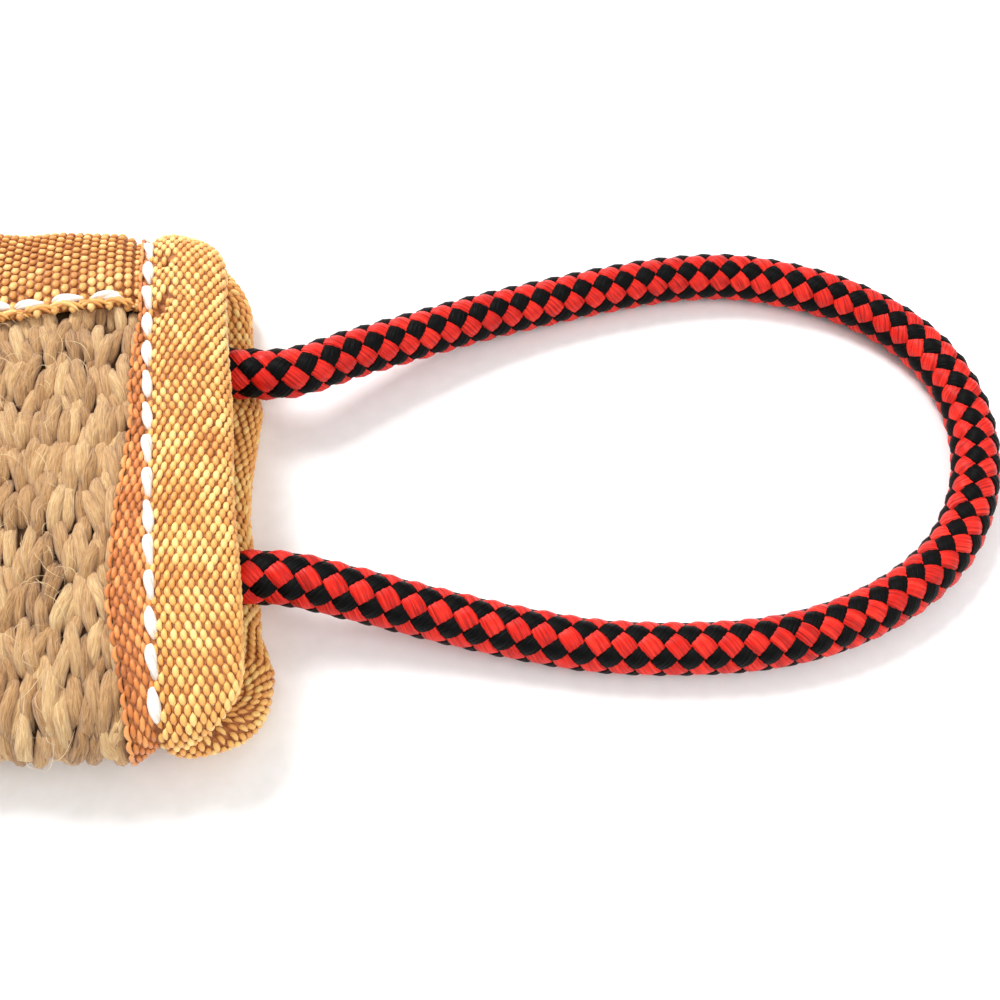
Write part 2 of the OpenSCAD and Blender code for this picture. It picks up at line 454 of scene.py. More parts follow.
# %% [markdown]
# ## The body's form
# The cross-section is a rounded box that swells between the two sewn ends. The same few formulas as in the
# design give any point of it, from its place along the body, its angle round the girth, and how far it
# stands out from the cloth.

# %% Body form
fullness = 2.5
pressed_depth = 2 * mm
tape_rise_length = 8 * mm
tape_rise_margin = 5 * mm
edge_rise_margin = 2 * mm
edge_rise_start = half_width - edge_tape_reach - edge_rise_margin - tape_rise_length
lean_start = half_length - 60 * mm
lean_length = 35 * mm


def swell(x):
    return (1 - np.minimum(1, np.abs(x) / swell_half_length) ** 3) ** 2.5


def cover_height(x):
    return cover_end_height + (body_height - cover_end_height) * swell(x)


def underside(x):
    past = np.abs(x) - swell_half_length + tape_rise_margin + tape_rise_length
    return tape_thickness * ease(past / tape_rise_length)


def rest_height(x, y):
    """Height of the cloth's underside: it makes room for the tapes that lie beneath it."""
    return np.maximum(underside(x), tape_thickness * ease((y - edge_rise_start) / tape_rise_length))


def lean(x):
    return end_lean * ease((np.abs(x) - lean_start) / lean_length)


def rounded(v):
    return np.sign(v) * np.abs(v) ** (2 / fullness)


def skin(x, angle, grow):
    """Points of the body's surface, pushed out by grow."""
    x, angle, grow = np.broadcast_arrays(x, angle, grow)
    y = (cover_half_width + grow) * rounded(np.cos(angle))
    half_height = cover_height(x) / 2 + grow
    reach = np.where(np.sin(angle) < 0, half_height + pressed_depth, half_height)
    z = underside(x) + cover_height(x) / 2 + reach * rounded(np.sin(angle))
    return np.stack([x - lean(x) * y, y, np.maximum(rest_height(x, y) - grow, z)], -1)


def even_angles(x, count, grow=0.0):
    """Angles that space count points evenly round the girth at x, and the girth itself."""
    dense = np.linspace(0, 2 * math.pi, 1441)
    ring = skin(x, dense, grow)
    reach = distances_along(ring)
    return np.interp(np.linspace(0, reach[-1], count, endpoint=False), reach, dense), reach[-1]


girth_station = half_length - 8 * mm
middle_girth = even_angles(0.0, 8)[1]
end_girth = even_angles(girth_station, 8, tape_thickness)[1]
print("girth in the middle", round(middle_girth, 4), "and at the ends", round(end_girth, 4))

# %% [markdown]
# ### Jute
# Jute is a dry, matt plant fibre. The yarns are pale straw and each ply has its own tone, with fine fibres
# running along it. The cloth in the gaps between them is painted dark brown as shade.


# %% Jute finishes
def jute_yarn():
    material, tree = new_material("spun_jute_yarn")
    tone = own_tone(tree)
    shift = {"i0": tone["Color"], "i1": (37.0, 53.0, 71.0), "i2": strand_place(tree)}
    shifted = node(tree, "ShaderNodeVectorMath", {"operation": "MULTIPLY_ADD"}, **shift)
    along = stretched(tree, shifted.outputs["Vector"], (2.2, 11.0, 1.0))
    fibres = noise(tree, along, 2.6, 5.0, Roughness=0.62, Distortion=0.35)
    stops = [(0.34, "#6F4A22"), (0.52, "#AC7E4A"), (0.70, "#CA9D68"), (0.92, "#E8C68C")]
    colour = ramp(tree, scaled_sum(tree, tone["Fac"], 0.30, fibres), stops)
    fuzz = {"Roughness": 0.92, "IOR": 1.45, "Sheen_Weight": 0.25, "Sheen_Roughness": 0.6}
    finish_material(tree, colour, fibres, 0.9, 0.45 * mm, **fuzz)
    return material


def jute_gap_shade():
    """The cloth beneath the floats: the crossing yarns, painted dark brown as the shade of those above."""
    material, tree = new_material("jute_gap_painted_shade")
    weave = noise(tree, object_place(tree), 900.0, 4.0, Roughness=0.6)
    # Painted shade: these dark browns stand for the shade in the gaps between the floats.
    colour = ramp(tree, weave, [(0.35, "#3E2810"), (0.55, "#624322"), (0.75, "#7E5C33")])
    finish_material(tree, colour, weave, 0.8, 0.5 * mm, Roughness=0.95)
    return material


def jute_fibre():
    """Single jute fibres: pale and dry, with a soft sheen at their edges."""
    material, tree = new_material("single_jute_fibre")
    colour = ramp(tree, own_tone(tree)["Fac"], [(0.2, "#C49C66"), (0.8, "#E6C998")])
    finish_material(tree, colour, Roughness=0.8, Sheen_Weight=0.4)
    return material


jute_fibre_finish = jute_fibre()
jute_yarn_finish = jute_yarn()
jute_gap_shade_finish = jute_gap_shade()

# %% [markdown]
# The real tapes wander a little, as hand-fed sewing does. Two short lists give that wander across the body,
# in millimetres.

# %% Hand-sewn wander
# How far the lower lip reaches past the rim's line, from the -Y side to the +Y side.
lower_lip_reach = [
    (-45, 1), (-39, 1.6), (-32, 2.6), (-25, 1.1), (-18, 1.2),
    (-3, 0.4), (4, 1), (17, 3.2), (28, 2.2), (45, 2.6),
]
# How wide the flange inside the end seam is.
flange_widths = [
    (-45, 2.8), (-38, 3.2), (-24, 5), (-11, 4), (-5, 3),
    (5, 1.8), (10, 2.1), (15, 1.7), (23, 0.7), (45, 0.7),
]


def flange_edge(across):
    """How far from the middle an end tape's inner edge lies, at a place across, as seen from that end."""
    return half_length - end_seam_inset - np.interp(across / mm, *zip(*flange_widths)) * mm


def edge_inner(x):
    """Where the long-edge tape's inner edge lies across the body."""
    return half_width - edge_tape_reach - 1.6 * mm * np.sin((124 * mm - x) / (9 * mm))


# %% [markdown]
# ## The stuffed cover
# The cover is a closed, crowned form. It could stay as the formula makes it, but stuffing pushes cloth out
# evenly between the seams that hold it. A short cloth simulation with air pressure inside swells it, from a
# start that is drawn in a little in its free middle, and no point moves further than it was drawn in. The
# parts under the tapes are pinned, and the order of the points stays the same, so the yarns can be placed
# on the result.

# %% Cover
cover_stations = 76
cover_columns = 72
ground_depth = 1.9 * mm
swell_room = 1.2 * mm
cover_reach = half_length - 11 * mm
floor_clearance = 0.5 * mm


def cover_grid(depth):
    """Points of the cover, evenly spaced along the body and round the girth."""
    rows = []
    for x in np.linspace(-cover_reach, cover_reach, cover_stations):
        angles = even_angles(x, cover_columns, -depth)[0]
        rows.append(skin(x, angles, -depth))
    return np.array(rows)


def cover_mesh(name, grid):
    rows, columns = grid.shape[:2]
    points = list(grid.reshape(-1, 3))
    faces = grid_faces(rows, columns)
    for row in (0, rows - 1):
        pole = len(points)
        points.append(grid[row].mean(0))
        faces += [(row * columns + c, row * columns + (c + 1) % columns, pole) for c in range(columns)]
    return make_mesh(name, points, faces, material=jute_gap_shade_finish)


def stuffed(grid):
    """The grid after a short simulation with pressure inside, moved by no more than swell_room."""
    start = cover_mesh("cover_start", grid)
    thing = add_object("cover_start", start)
    rows, columns = grid.shape[:2]
    held = thing.vertex_groups.new(name="held")
    along = grid.reshape(-1, 3)
    under_end = np.abs(along[:, 0]) > swell_half_length - 1 * mm
    under_edge = along[:, 1] > half_width - edge_tape_reach
    pinned = [int(i) for i in np.nonzero(under_end | under_edge)[0]]
    held.add(pinned + [rows * columns, rows * columns + 1], 1.0, "REPLACE")
    cloth = thing.modifiers.new("stuffing", "CLOTH")
    cloth.settings.vertex_group_mass = "held"
    cloth.settings.use_pressure = True
    cloth.settings.uniform_pressure_force = 4
    cloth.settings.effector_weights.gravity = 0
    cloth.settings.tension_stiffness = 30
    cloth.settings.bending_stiffness = 2
    cloth.settings.quality = 5
    scene = bpy.context.scene
    for f in range(1, 21):
        scene.frame_set(f)
    seen = thing.evaluated_get(bpy.context.evaluated_depsgraph_get())
    moved = np.array([v.co for v in seen.data.vertices])[: rows * columns]
    scene.frame_set(1)
    bpy.data.objects.remove(thing)
    step = moved - along
    size = np.linalg.norm(step, axis=1, keepdims=True)
    step *= np.minimum(1, swell_room / np.maximum(size, 1e-9))
    print("simulated", rows, "rows of the cover, largest step", float(size.max()))
    return (along + step).reshape(grid.shape)


def slackened(grid):
    """The grid drawn in by swell_room in its free middle, and unchanged where the tapes hold it."""
    smaller = cover_grid(ground_depth + swell_room)
    from_ends = ease((swell_half_length - np.abs(grid[..., 0])) / (25 * mm))
    from_edge = ease((edge_rise_start + 10 * mm - grid[..., 1]) / (15 * mm))
    return grid + (smaller - grid) * (from_ends * from_edge)[..., None]


cover = cover_grid(ground_depth)
cover = stuffed(slackened(cover))
cover[..., 2] = np.maximum(cover[..., 2], floor_clearance)
jute_body = add_object("jute_body", cover_mesh("jute_body", cover))
smoothing = jute_body.modifiers.new("smoothing", "SUBSURF")
smoothing.levels = smoothing.render_levels = 1
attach(jute_body, "body")
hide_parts("jute_cover", "filling_core")
print("cover from", cover.reshape(-1, 3).min(0).round(4), "to", cover.reshape(-1, 3).max(0).round(4))

# %% [markdown]
# ## A scatter made with Geometry Nodes
# Yarn floats, tape floats, stitches and stray fibres are all small closed shapes that repeat over a
# surface. One Geometry Nodes tree serves them all: it puts a shape on each point of a mesh, turned and
# sized by the point's own attributes, gives each one a random tone, and makes them real geometry. The
# result is kept as a plain mesh, and the modifier goes away with its helper.


# %% Scatter
floor_gap = 0.05 * mm


def scatter_tree(material):
    tree = bpy.data.node_groups.new("scatter", "GeometryNodeTree")
    kinds = {"Shapes": "Collection", "Shape count": "Int", "Size spread": "Float", "Seed": "Int"}
    for label, kind in {"Geometry": "Geometry", **kinds}.items():
        tree.interface.new_socket(label, in_out="INPUT", socket_type="NodeSocket" + kind)
    tree.interface.new_socket("Geometry", in_out="OUTPUT", socket_type="NodeSocketGeometry")
    given = node(tree, "NodeGroupInput").outputs
    shapes = node(
        tree,
        "GeometryNodeCollectionInfo",
        Collection=given["Shapes"],
        Separate_Children=True,
        Reset_Children=True,
    )

    def math_step(operation, first, second):
        return node(tree, "ShaderNodeMath", {"operation": operation}, i0=first, i1=second).outputs[0]

    def chance_of(kind, **limits):
        return node(tree, "FunctionNodeRandomValue", {"data_type": kind}, Seed=given["Seed"], **limits)

    pick = chance_of("INT", i5=math_step("SUBTRACT", given["Shape count"], 1.0))
    low = math_step("SUBTRACT", 1.0, given["Size spread"])
    high = math_step("ADD", 1.0, given["Size spread"])
    vary = chance_of("FLOAT", i2=low, i3=high)
    turn = node(tree, "GeometryNodeInputNamedAttribute", {"data_type": "FLOAT_VECTOR"}, Name="turn")
    size = node(tree, "GeometryNodeInputNamedAttribute", {"data_type": "FLOAT_VECTOR"}, Name="size")
    spread = node(
        tree,
        "ShaderNodeVectorMath",
        {"operation": "SCALE"},
        i0=size.outputs["Attribute"],
        Scale=vary.outputs[1],
    )
    rotation = node(tree, "FunctionNodeEulerToRotation", Euler=turn.outputs["Attribute"])
    placed = node(
        tree,
        "GeometryNodeInstanceOnPoints",
        Points=given["Geometry"],
        Instance=shapes.outputs["Instances"],
        Pick_Instance=True,
        Instance_Index=pick.outputs[2],
        Rotation=rotation.outputs["Rotation"],
        Scale=spread.outputs["Vector"],
    )
    tone = chance_of("FLOAT")
    stored = node(
        tree,
        "GeometryNodeStoreNamedAttribute",
        {"data_type": "FLOAT", "domain": "INSTANCE"},
        Geometry=placed.outputs["Instances"],
        Name="tone",
        Value=tone.outputs[1],
    )
    real = node(tree, "GeometryNodeRealizeInstances", Geometry=stored.outputs["Geometry"])
    painted = node(tree, "GeometryNodeSetMaterial", Geometry=real.outputs["Geometry"], Material=material)
    node(tree, "NodeGroupOutput", Geometry=painted.outputs["Geometry"])
    return tree


def press_on_floor(mesh):
    """Flattens whatever would hang below the surface that the body lies on."""
    places = np.zeros(3 * len(mesh.vertices), np.float32)
    mesh.vertices.foreach_get("co", places)
    places[2::3] = np.maximum(places[2::3], floor_gap)
    mesh.vertices.foreach_set("co", places)
    mesh.update()


def scatter(name, places, turns, sizes, shapes, material, spread=0.0, seed=1):
    """One plain mesh: a shape at each place, with its turn as three angles and its size along three axes."""
    points = bpy.data.meshes.new(name + "_points")
    points.from_pydata([tuple(p) for p in places], [], [])
    for key, values in (("turn", turns), ("size", sizes)):
        attribute = points.attributes.new(key, "FLOAT_VECTOR", "POINT")
        attribute.data.foreach_set("vector", np.asarray(values, np.float32).ravel())
    helper = add_object(name + "_helper", points)
    collection = bpy.data.collections.new(name + "_shapes")
    for number, shape in enumerate(shapes):
        collection.objects.link(bpy.data.objects.new(f"{name}_shape_{number}", shape))
    tree = scatter_tree(material)
    modifier = helper.modifiers.new("scatter", "NODES")
    modifier.node_group = tree
    inputs = {item.name: item.identifier for item in tree.interface.items_tree if item.in_out == "INPUT"}
    modifier[inputs["Shapes"]] = collection
    modifier[inputs["Shape count"]] = len(shapes)
    modifier[inputs["Size spread"]] = float(spread)
    modifier[inputs["Seed"]] = seed
    helper.update_tag()
    seen = helper.evaluated_get(bpy.context.evaluated_depsgraph_get())
    mesh = bpy.data.meshes.new_from_object(seen)
    mesh.name = name
    press_on_floor(mesh)
    helper.modifiers.clear()
    bpy.data.objects.remove(helper)
    for thing in list(collection.objects):
        bpy.data.objects.remove(thing)
    bpy.data.collections.remove(collection)
    bpy.data.node_groups.remove(tree)
    print(name, len(places), "shapes,", len(mesh.polygons), "faces")
    return add_object(name, mesh)


def angles_of(across, along, outward):
    """The three turning angles of each frame whose axes are across, along and outward."""
    turns = []
    for a, b, c in zip(across, along, outward):
        turns.append(tuple(Matrix((a, b, c)).transposed().to_euler("XYZ")))
    return turns


def scatter_along(name, frames, shapes, material, spread, seed):
    """Scatters shapes of one size over frames, which hold places, directions and outward directions."""
    places, along, outward = frames
    turns = angles_of(np.cross(along, outward), along, outward)
    return scatter(name, places, turns, np.ones((len(places), 3)), shapes, material, spread, seed)


def spindle(name, length, width, height, sides, spans, drop=0.0, bend=0.0, bow=0.0, blunt=0.5):
    """A closed grain shape that lies along Y: its ends sink by drop, and bend and bow curve it sideways."""
    points, places, faces = [(0.0, -length / 2, -drop)], [(0.0, 0.5)], []
    for r in range(1, spans):
        t = -1 + 2 * r / spans
        thick = (1 - t * t) ** blunt
        centre = (bend * math.sin(math.pi * t) + bow * (1 - t * t), t * length / 2, -drop * t * t)
        points += ellipse(centre, width / 2 * thick, height / 2 * thick, sides)
        places += [(r / spans, k / sides) for k in range(sides)]
    points.append((0.0, length / 2, -drop))
    places.append((1.0, 0.5))
    faces += [(0, 1 + (k + 1) % sides, 1 + k) for k in range(sides)]
    for face in grid_faces(spans - 1, sides):
        faces.append(tuple(1 + i for i in face))
    last, top = 1 + (spans - 2) * sides, len(points) - 1
    faces += [(last + k, last + (k + 1) % sides, top) for k in range(sides)]
    return make_mesh(name, points, faces, places)


# %% [markdown]
# ## Jute yarns
# The face of the cloth shows short floats of thick yarn, laid like bricks, each one a bundle of five plump
# plies, with two more that close the gaps to the next row. A displaced surface would blur where plies dive
# under each other, so each ply is a closed grain shape of its own. The floats lie every 6.3 mm along the
# body and every 8 mm round the girth, with every other row shifted by half. Where the cloth turns sharply,
# at its folded edge, the plies curve more.

# %% Jute floats
float_pitch = 6.3 * mm
row_pitch = 8.0 * mm
ply_count = 5
ply_length = 10 * mm
fill_count = 2
tight_bulge = 0.8 * mm
most_bulge = 1.8 * mm
chance = np.random.default_rng(5)


def on_cover(u, v):
    """The place, the direction round the girth and the outward direction at u along and v round it."""

    def place(u, v):
        r = np.clip(u, 0, 1) * (cover_stations - 1)
        c = (v % 1) * cover_columns
        r0 = np.minimum(r.astype(int), cover_stations - 2)
        c0 = c.astype(int) % cover_columns
        c1 = (c0 + 1) % cover_columns
        fr, fc = (r - r0)[:, None], (c - np.floor(c))[:, None]
        near = cover[r0, c0] * (1 - fc) + cover[r0, c1] * fc
        far = cover[r0 + 1, c0] * (1 - fc) + cover[r0 + 1, c1] * fc
        return near * (1 - fr) + far * fr

    du, dv = 0.012, 0.01
    lengthwise = place(u + du, v) - place(u - du, v)
    girthwise = place(u, v + dv) - place(u, v - dv)
    return place(u, v), unit(girthwise), unit(np.cross(girthwise, lengthwise))


def float_lattice():
    """u and v of every float's middle."""
    rows = int(round(middle_girth / row_pitch))
    columns = int(2 * cover_reach / float_pitch)
    us, vs = [], []
    for row in range(rows):
        for column in range(columns):
            us.append((column + 0.5 * (row % 2) + 0.25) / columns)
            vs.append((row + 0.5) / rows)
    return np.array(us), np.array(vs)


def bare_cloth(spots):
    """Whether each ply lies clear of the tapes. Where a tape is drawn in, the plies stop short of it."""
    square = np.abs(spots[:, 0] + end_lean * spots[:, 1])
    across = np.sign(spots[:, 0]) * spots[:, 1]
    drawn_in = ease((-across - 34 * mm) / (6 * mm))
    limit = flange_edge(across) + 0.7 * mm - 1.5 * mm * drawn_in
    tucked = ease((square - limit + 5 * mm) / (3 * mm))
    return (square < limit) & (spots[:, 1] < edge_inner(spots[:, 0]) + (2.3 - 4.4 * tucked) * mm)


def jute_plies():
    """Places, turns, sizes and bulges of all plies that show, each at a spot of its own on the cloth."""
    us, vs = float_lattice()
    us = us + chance.normal(0, 0.35 * mm, len(us)) / (2 * cover_reach)
    vs = vs + chance.normal(0, 0.35 * mm, len(vs)) / middle_girth
    ply_us, ply_vs, lifts, yaws, sizes = [], [], [], [], []
    for u, v in zip(us, vs):
        lean_way = chance.normal(0, 0.06)
        plump = chance.uniform(0.9, 1.1)
        for ply in range(ply_count + fill_count):
            filling = ply >= ply_count
            slot = chance.uniform(-2.2, 2.2) if filling else ply - (ply_count - 1) / 2
            sideways = slot * 1.22 * mm + chance.normal(0, 0.12 * mm)
            forward = (0.9 if ply % 2 else -0.9) * mm + chance.normal(0, 0.6 * mm)
            lift = (1.5 - 0.16 * slot * slot) * mm + chance.normal(0, 0.14 * mm)
            yaws.append(lean_way - 0.07 * slot + chance.normal(0, 0.09))
            if filling:
                forward = chance.choice((-1, 1)) * row_pitch / 2 + chance.normal(0, 0.5 * mm)
                lift = 0.45 * mm
            ply_us.append(u - sideways / (2 * cover_reach))
            ply_vs.append(v + forward / middle_girth)
            lifts.append(lift)
            sizes.append((plump, plump * chance.uniform(0.88, 1.1), plump))
    us, vs, sizes = np.array(ply_us), np.array(ply_vs), np.array(sizes)
    places, girthwise, outward = on_cover(us, vs)
    across = np.cross(girthwise, outward)
    yaws = np.array(yaws)[:, None]
    along = girthwise * np.cos(yaws) + across * np.sin(yaws)
    spots = places + outward * np.array(lifts)[:, None]
    reach = ply_length / 2 / middle_girth
    chord = (on_cover(us, vs + reach)[0] + on_cover(us, vs - reach)[0]) / 2
    bulges = np.maximum(((places - chord) * outward).sum(1), 0.01 * mm)
    sizes[:, 1] *= np.minimum(1, np.sqrt(most_bulge / bulges))
    turns = np.array(angles_of(np.cross(along, outward), along, outward))
    shown = bare_cloth(spots)
    return spots[shown], turns[shown], sizes[shown], bulges[shown]


def ply_shapes(label, drop):
    """Four plies that bend sideways by different amounts and whose ends sink by drop."""
    bends = (-0.4, -0.15, 0.15, 0.4)
    return [
        spindle(f"{label}_{k}", ply_length, 2.2 * mm, 2.1 * mm, 7, 6, drop=drop, bend=b * mm)
        for k, b in enumerate(bends)
    ]


flat_plies = ply_shapes("flat_ply", 1.9 * mm)
curved_plies = ply_shapes("curved_ply", 3.6 * mm)
spots, turns, sizes, bulges = jute_plies()
tight = np.flatnonzero(bulges > tight_bulge)
open_cloth = np.flatnonzero(bulges <= tight_bulge)
zone_names = ("plain_end", "plain_half", "handle_half", "handle_end")
zones = np.array_split(open_cloth[np.argsort(spots[open_cloth, 0], kind="stable")], len(zone_names))
jute_zones = [(label, zone, flat_plies) for label, zone in zip(zone_names, zones)]
jute_zones.append(("folded_edge", tight, curved_plies))
for label, zone, shapes in jute_zones:
    placed = spots[zone], turns[zone], sizes[zone]
    piece = scatter(f"jute_yarns_{label}", *placed, shapes, jute_yarn_finish, spread=0.05, seed=11)
    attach(piece, "body")

# %% [markdown]
# Loose fibres stand up from spun jute. Short, fine, curved hairs over the cloth give the surface its fuzz.

# %% Loose fibres
fibre_count = 9000
fibre_lift = 2.3 * mm


def hair(name, length, thickness, curl):
    """A thin three-sided hair that lies along Y and curls upwards."""
    spans = 6
    points, places = [], []
    for r in range(spans + 1):
        t = r / spans
        centre = (curl * math.sin(2.4 * t), (t - 0.5) * length, 0.9 * mm * math.sin(math.pi * t))
        radius = thickness / 2 * (1 - 0.6 * abs(2 * t - 1))
        points += ellipse(centre, radius, radius, 3)
        places += [(t, k / 3) for k in range(3)]
    return make_mesh(name, points, tube_faces(0, spans + 1, 3), places)


hair_kinds = ((2.0, 0.4), (2.6, -0.6), (3.4, 0.9), (4.6, -1.2))
hair_width = 0.085 * mm
hairs = [hair(f"hair_{k}", size * mm, hair_width, curl * mm) for k, (size, curl) in enumerate(hair_kinds)]
us = chance.uniform(0.04, 0.96, fibre_count)
vs = chance.uniform(0.0, 1.0, fibre_count)
places, girthwise, outward = on_cover(us, vs)
bare = (places[:, 1] < half_width - edge_tape_reach) & (np.abs(places[:, 0]) < swell_half_length)
kept = bare & (outward[:, 2] > 0.1)
places, girthwise, outward = places[kept], girthwise[kept], outward[kept]
swing = chance.uniform(-1.2, 1.2, len(places))
across = np.cross(girthwise, outward)
along = girthwise * np.cos(swing)[:, None] + across * np.sin(swing)[:, None]
stand = places + outward * fibre_lift, along, outward
fibres = scatter_along("loose_fibres", stand, hairs, jute_fibre_finish, 0.3, 23)
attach(fibres, "body")

# %% [markdown]
# ### Woven tape
# The binding is a narrow woven tape of glossy gold yarn. Its floats catch the light one by one. Inside the
# seam, on the flange, the floats are a darker amber copy of the gold as painted shade, and the ground between
# the floats is a rust brown darkened as painted shade.


# %% Tape finishes
def tape_weave(name, dark, middle, light, pale, roughness):
    material, tree = new_material(name)
    drift = noise(tree, object_place(tree), 160.0, 1.0)
    lines = noise(tree, stretched(tree, strand_place(tree), (0.5, 8.0, 1.0)), 3.0, 2.0)
    shade = scaled_sum(tree, own_tone(tree)["Fac"], 0.34, scaled_sum(tree, drift, 0.5, 0.26))
    colour = ramp(tree, shade, [(0.36, dark), (0.52, middle), (0.70, light), (0.86, pale)])
    sheen = {"Roughness": roughness, "IOR": 1.5, "Sheen_Weight": 0.2}
    finish_material(tree, colour, lines, 0.5, 0.1 * mm, **sheen)
    return material


def tape_gap_shade():
    material, tree = new_material("rust_tape_gap_painted_shade")
    grain = noise(tree, object_place(tree), 1400.0, 2.0)
    # Painted shade: the tape's rust brown is darkened here to stand for the shade in the gaps between the
    # floats.
    colour = ramp(tree, grain, [(0.35, "#82461A"), (0.6, "#A8642E"), (0.8, "#C88446")])
    finish_material(tree, colour, grain, 0.6, 0.2 * mm, Roughness=0.7)
    return material


gold_weave = tape_weave("gold_woven_tape", "#CC8338", "#E29C4A", "#F0B660", "#FAD684", 0.4)
# The flange's floats take a darker copy of the gold tape: painted shade for the flange, which lies in shadow
# inside the seam.
gold_weave_painted_shade = tape_weave("gold_tape_painted_shade", "#A85A1E", "#C4702C", "#D8843E", "#EBA258", 0.45)
edge_weave = tape_weave("ochre_tape_yarn", "#B46C2E", "#D08A40", "#E6AA5A", "#F4CB80", 0.42)
tape_gap_shade_finish = tape_gap_shade()

# %% [markdown]
# ## End tapes
# A 40 mm tape is folded lengthwise round the cloth at each end, so that the end becomes a flat mouth with
# an upper and a lower lip. Its cross-section is drawn once, as a line from the tape's inner edge over the
# lip, round the rim and back inside, and carried round the girth.

# %% End tape form
lip_depth = 3.5 * mm
rim_radius = (tape_thickness + lip_depth) / 2
end_seam = half_length - end_seam_inset
tape_cut = 38 * mm
tape_sheet = 0.9 * mm
end_columns = 168
end_rows = 44
float_depth = 0.28 * mm
float_lift = -0.12 * mm
corner_radius = 8 * mm
corner_pull = 2.6 * mm
# Each crease, in millimetres: how far past the seam, where across the body, its half length and its depth.
crease_list = [(2.9, 35, 1.5, 2.3), (2.3, 25.5, 2.6, 2.5), (5.5, 29, 1.6, 0.5), (4.5, -38, 2.5, 0.5)]


def lower_side(angle):
    """0 over the upper lip and 1 over the lower one, with a soft change at the two corners."""
    return ease(0.5 - 2.2 * np.sin(angle))


def rim_place(angle):
    """Where the rim's outermost line lies along the body, before the end's lean."""
    y = half_width * rounded(np.cos(angle))
    lower = lower_side(angle)
    past = np.clip(np.abs(y) - half_width + corner_radius, 0, corner_radius)
    corner = 0.9 * (corner_radius - np.sqrt(corner_radius**2 - past**2))
    upper_edge = -0.9 * mm + 0.15 * mm * np.sin(y / (5 * mm))
    lower_edge = np.interp(y / mm, *zip(*lower_lip_reach)) * mm
    return half_length + (1 - lower) * upper_edge + lower * lower_edge - corner


def inner_edge_place(angle):
    """Where the tape's inner edge lies: it wanders away from the seam towards the -Y side."""
    y = half_width * rounded(np.cos(angle))
    return flange_edge(y)


def end_profile(angle, distance):
    """Place along the body and stand-off from the cloth, at a distance from the tape's inner edge."""
    inner = inner_edge_place(angle)
    rim_start = rim_place(angle) - rim_radius
    flat = rim_start - inner
    bend = np.clip((distance - flat) / rim_radius, 0, math.pi)
    back = np.maximum(0, distance - flat - math.pi * rim_radius)
    x = inner + np.minimum(distance, flat) + rim_radius * np.sin(bend) - back
    grow = tape_thickness - rim_radius * (1 - np.cos(bend)) - 1.2 * mm * ease(back / (8 * mm))
    on_face = ease((flat + 1 * mm - distance) / (2 * mm))
    valley = -0.8 * mm * np.exp(-(((x - end_seam) / (1.0 * mm)) ** 2))
    crown = 0.7 * mm * ease((x - end_seam) / (4 * mm)) * ease((rim_start + 1.5 * mm - x) / (5 * mm))
    slump = -0.35 * mm * ease((end_seam - x) / (2.5 * mm))
    return np.stack([x, grow + on_face * (valley + crown + slump)], -1)


def lifted_profile(angle, distance, lift):
    """The profile pushed out by lift, square to itself."""
    here = end_profile(angle, distance)
    step = 0.05 * mm
    run = unit(end_profile(angle, distance + step) - end_profile(angle, distance - step))
    return here + np.stack([-run[..., 1], run[..., 0]], -1) * np.asarray(lift)[..., None]


def creases(x, angle):
    """Depth of the short slanted folds beside the seam, on the upper face only."""
    y = half_width * rounded(np.cos(angle))
    depth = np.zeros(np.broadcast(x, angle).shape)
    for past_seam, across, half_span, deep in crease_list:
        dx, dy = x - end_seam - past_seam * mm, y - across * mm
        along, off = 0.35 * dx + 0.94 * dy, 0.94 * dx - 0.35 * dy
        depth += deep * mm * np.exp(-((along / (half_span * mm)) ** 2) - (off / (0.85 * mm)) ** 2)
    return depth * (np.sin(angle) > 0)


def end_tape_point(side, angle, distance, lift):
    """A point of one end's tape. The plain end is the handle end turned half round, so both lean alike."""
    x, grow = np.moveaxis(lifted_profile(angle, distance, lift), -1, 0)
    point = skin(x, angle, grow - creases(x, angle))
    near = ease(-point[..., 1] / half_width) * ease((x - end_seam + 4.5 * mm) / (4 * mm))
    point[..., 1] += corner_pull * near
    point[..., 2] = np.maximum(point[..., 2], floor_gap)
    return point if side > 0 else point * [-1, -1, 1]


def end_tape(name, side):
    """The folded tape as a closed ring with a sheet's thickness."""
    angles = even_angles(girth_station, end_columns, tape_thickness)[0]
    across = np.linspace(0, tape_cut, end_rows)
    rows = [end_tape_point(side, angles, np.full(end_columns, d), -float_depth) for d in across]
    inside = -float_depth - tape_sheet
    rows += [end_tape_point(side, angles, np.full(end_columns, d), inside) for d in across[::-1]]
    faces = grid_faces(len(rows), end_columns, close_rows=True)
    return add_object(name, make_mesh(name, np.concatenate(rows), faces, material=tape_gap_shade_finish))


def square_to(along, outward):
    """The outward direction, made square to the direction along."""
    return unit(outward - along * (outward * along).sum(-1, keepdims=True))


def frames_on(surface, a, b, c=0.0):
    """Place, direction along a and outward direction on surface(a, b, lift), found by small steps."""
    place = surface(a, b, c)
    step = 0.002
    along = unit(surface(a + step, b, c) - surface(a - step, b, c))
    return place, along, square_to(along, surface(a, b, c + 0.1 * mm) - place)


def lattice(count, columns):
    """Places of a brick pattern: count spots along each column, every other column shifted by half."""
    spot, column = np.meshgrid(np.arange(count), np.arange(columns), indexing="ij")
    return ((spot + 0.5 * (column % 2)) / count).ravel(), column.ravel()


def at_girth(fraction):
    """The angle at a fraction of the girth of an end."""
    table = even_angles(girth_station, 720, tape_thickness)[0]
    return np.interp(fraction % 1, np.arange(721) / 720, np.append(table, 2 * math.pi))


lip_column = 0.64 * mm
lip_repeat = 2.5 * mm
flange_column = 0.54 * mm
flange_repeat = 2.8 * mm
edge_column = 1.3 * mm
edge_repeat = 2.0 * mm


def seam_distance(angle):
    return end_seam - inner_edge_place(angle)


